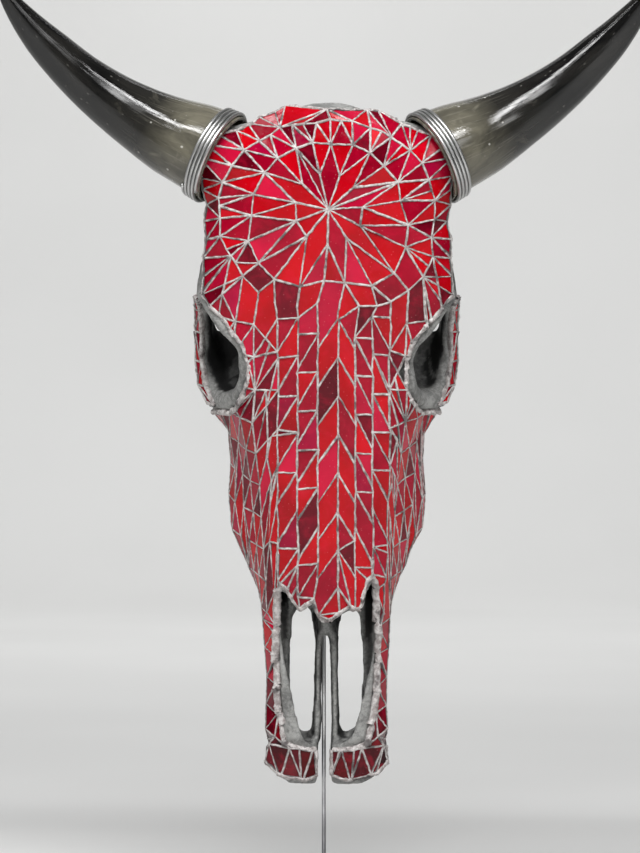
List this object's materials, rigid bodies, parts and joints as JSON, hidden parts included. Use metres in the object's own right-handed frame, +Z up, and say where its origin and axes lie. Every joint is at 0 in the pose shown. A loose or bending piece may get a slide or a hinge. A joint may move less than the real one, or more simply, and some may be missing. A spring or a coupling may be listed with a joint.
{
  "type": "decorated cow skull",
  "caption": "Cow skull covered in a red glass mosaic that spreads from a star on the forehead, with polished horns bound in wire, upright on a thin rod and a round base.",
  "frame": {"origin": "centre of the underside of the round base plate", "axes": "+Z up, +Y from the face to the back of the head, +X to the right of someone who faces the skull"},
  "size_m": [0.4686, 0.2, 0.6604],
  "materials": {
    "bone": "charcoal grey bone, mottled, dull",
    "tile_glass": "scarlet to wine red glass tiles, glossy and backed, with pale grey grout",
    "horn": "polished horn, grey brown at the base and black towards the tip",
    "wire": "grey steel wire, satin",
    "enamel": "worn enamel, satin",
    "stand_steel": "plain steel, satin"
  },
  "bodies": {
    "root": {"skull": "bone", "glass_mosaic": "tile_glass", "horn_left": "horn", "binding_left": "wire", "cheek_tooth_left_1": "enamel", "cheek_tooth_left_2": "enamel", "cheek_tooth_left_3": "enamel", "cheek_tooth_left_4": "enamel", "cheek_tooth_left_5": "enamel", "cheek_tooth_left_6": "enamel", "horn_right": "horn", "binding_right": "wire", "cheek_tooth_right_1": "enamel", "cheek_tooth_right_2": "enamel", "cheek_tooth_right_3": "enamel", "cheek_tooth_right_4": "enamel", "cheek_tooth_right_5": "enamel", "cheek_tooth_right_6": "enamel", "stand_rod": "stand_steel", "stand_base": "stand_steel"}
  },
  "joints": []
}
